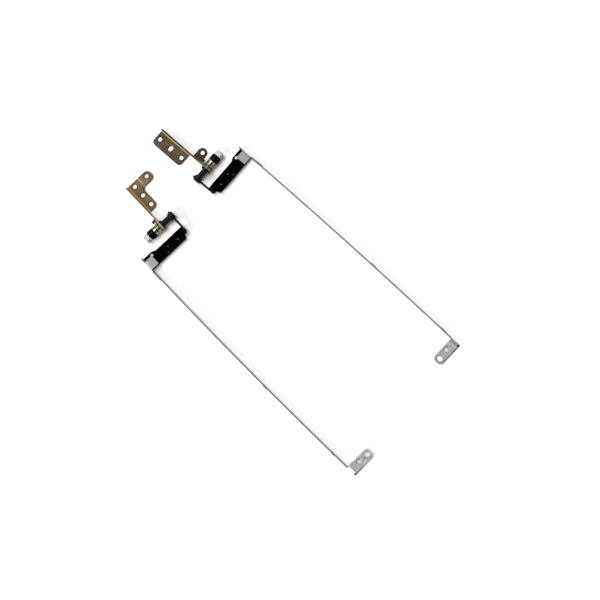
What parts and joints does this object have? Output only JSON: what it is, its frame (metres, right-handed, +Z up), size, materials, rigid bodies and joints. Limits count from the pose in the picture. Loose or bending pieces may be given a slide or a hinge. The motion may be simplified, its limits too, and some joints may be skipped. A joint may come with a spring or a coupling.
{
  "type": "laptop hinge pair",
  "caption": "Left and right friction hinges of a laptop lid, opened flat: bronze base brackets, shafts with spring packs, black display brackets and long screen arms with end tabs.",
  "frame": {"origin": "middle of the pair's bounding box, on the table the hinges lie on", "axes": "+X along the left hinge's axis towards the right hinge, +Y from the axes towards the arms' end tabs, +Z up from the table"},
  "size_m": [0.124, 0.2676, 0.0107],
  "materials": {
    "left_base_plating": "dark bronze plating",
    "right_base_plating": "olive bronze plating",
    "friction_bronze": "oiled",
    "black_steel": "black, half gloss",
    "spring_steel": "blackened",
    "washer_brass": "polished",
    "bright_steel": "bright plated",
    "galvanised_steel": "galvanised"
  },
  "bodies": {
    "bases": {"left_base_bracket": "left_base_plating", "left_friction_plate": "friction_bronze", "right_base_bracket": "right_base_plating", "right_friction_plate": "friction_bronze"},
    "left_lid": {"left_shaft": "black_steel", "left_inner_washer": "washer_brass", "left_outer_washer": "washer_brass", "left_disc_spring_1": "spring_steel", "left_disc_spring_2": "spring_steel", "left_disc_spring_3": "spring_steel", "left_disc_spring_4": "spring_steel", "left_end_washer": "bright_steel", "left_nut": "bright_steel", "left_display_bracket": "black_steel", "left_screen_arm": "galvanised_steel"},
    "right_lid": {"right_shaft": "black_steel", "right_inner_washer": "washer_brass", "right_outer_washer": "washer_brass", "right_disc_spring_1": "spring_steel", "right_disc_spring_2": "spring_steel", "right_disc_spring_3": "spring_steel", "right_disc_spring_4": "spring_steel", "right_end_washer": "bright_steel", "right_nut": "bright_steel", "right_display_bracket": "black_steel", "right_screen_arm": "galvanised_steel"}
  },
  "joints": [
    {"name": "left_hinge", "type": "hinge", "parent": "bases", "child": "left_lid", "pos_m": [-0.03476, -0.09053, 0.0065], "axis": [1, 0, 0], "range_deg": [0, 180]},
    {"name": "right_hinge", "type": "hinge", "parent": "bases", "child": "right_lid", "pos_m": [0.01847, -0.08838, 0.0065], "axis": [0.995, -0.1, 0], "range_deg": [0, 180]}
  ]
}
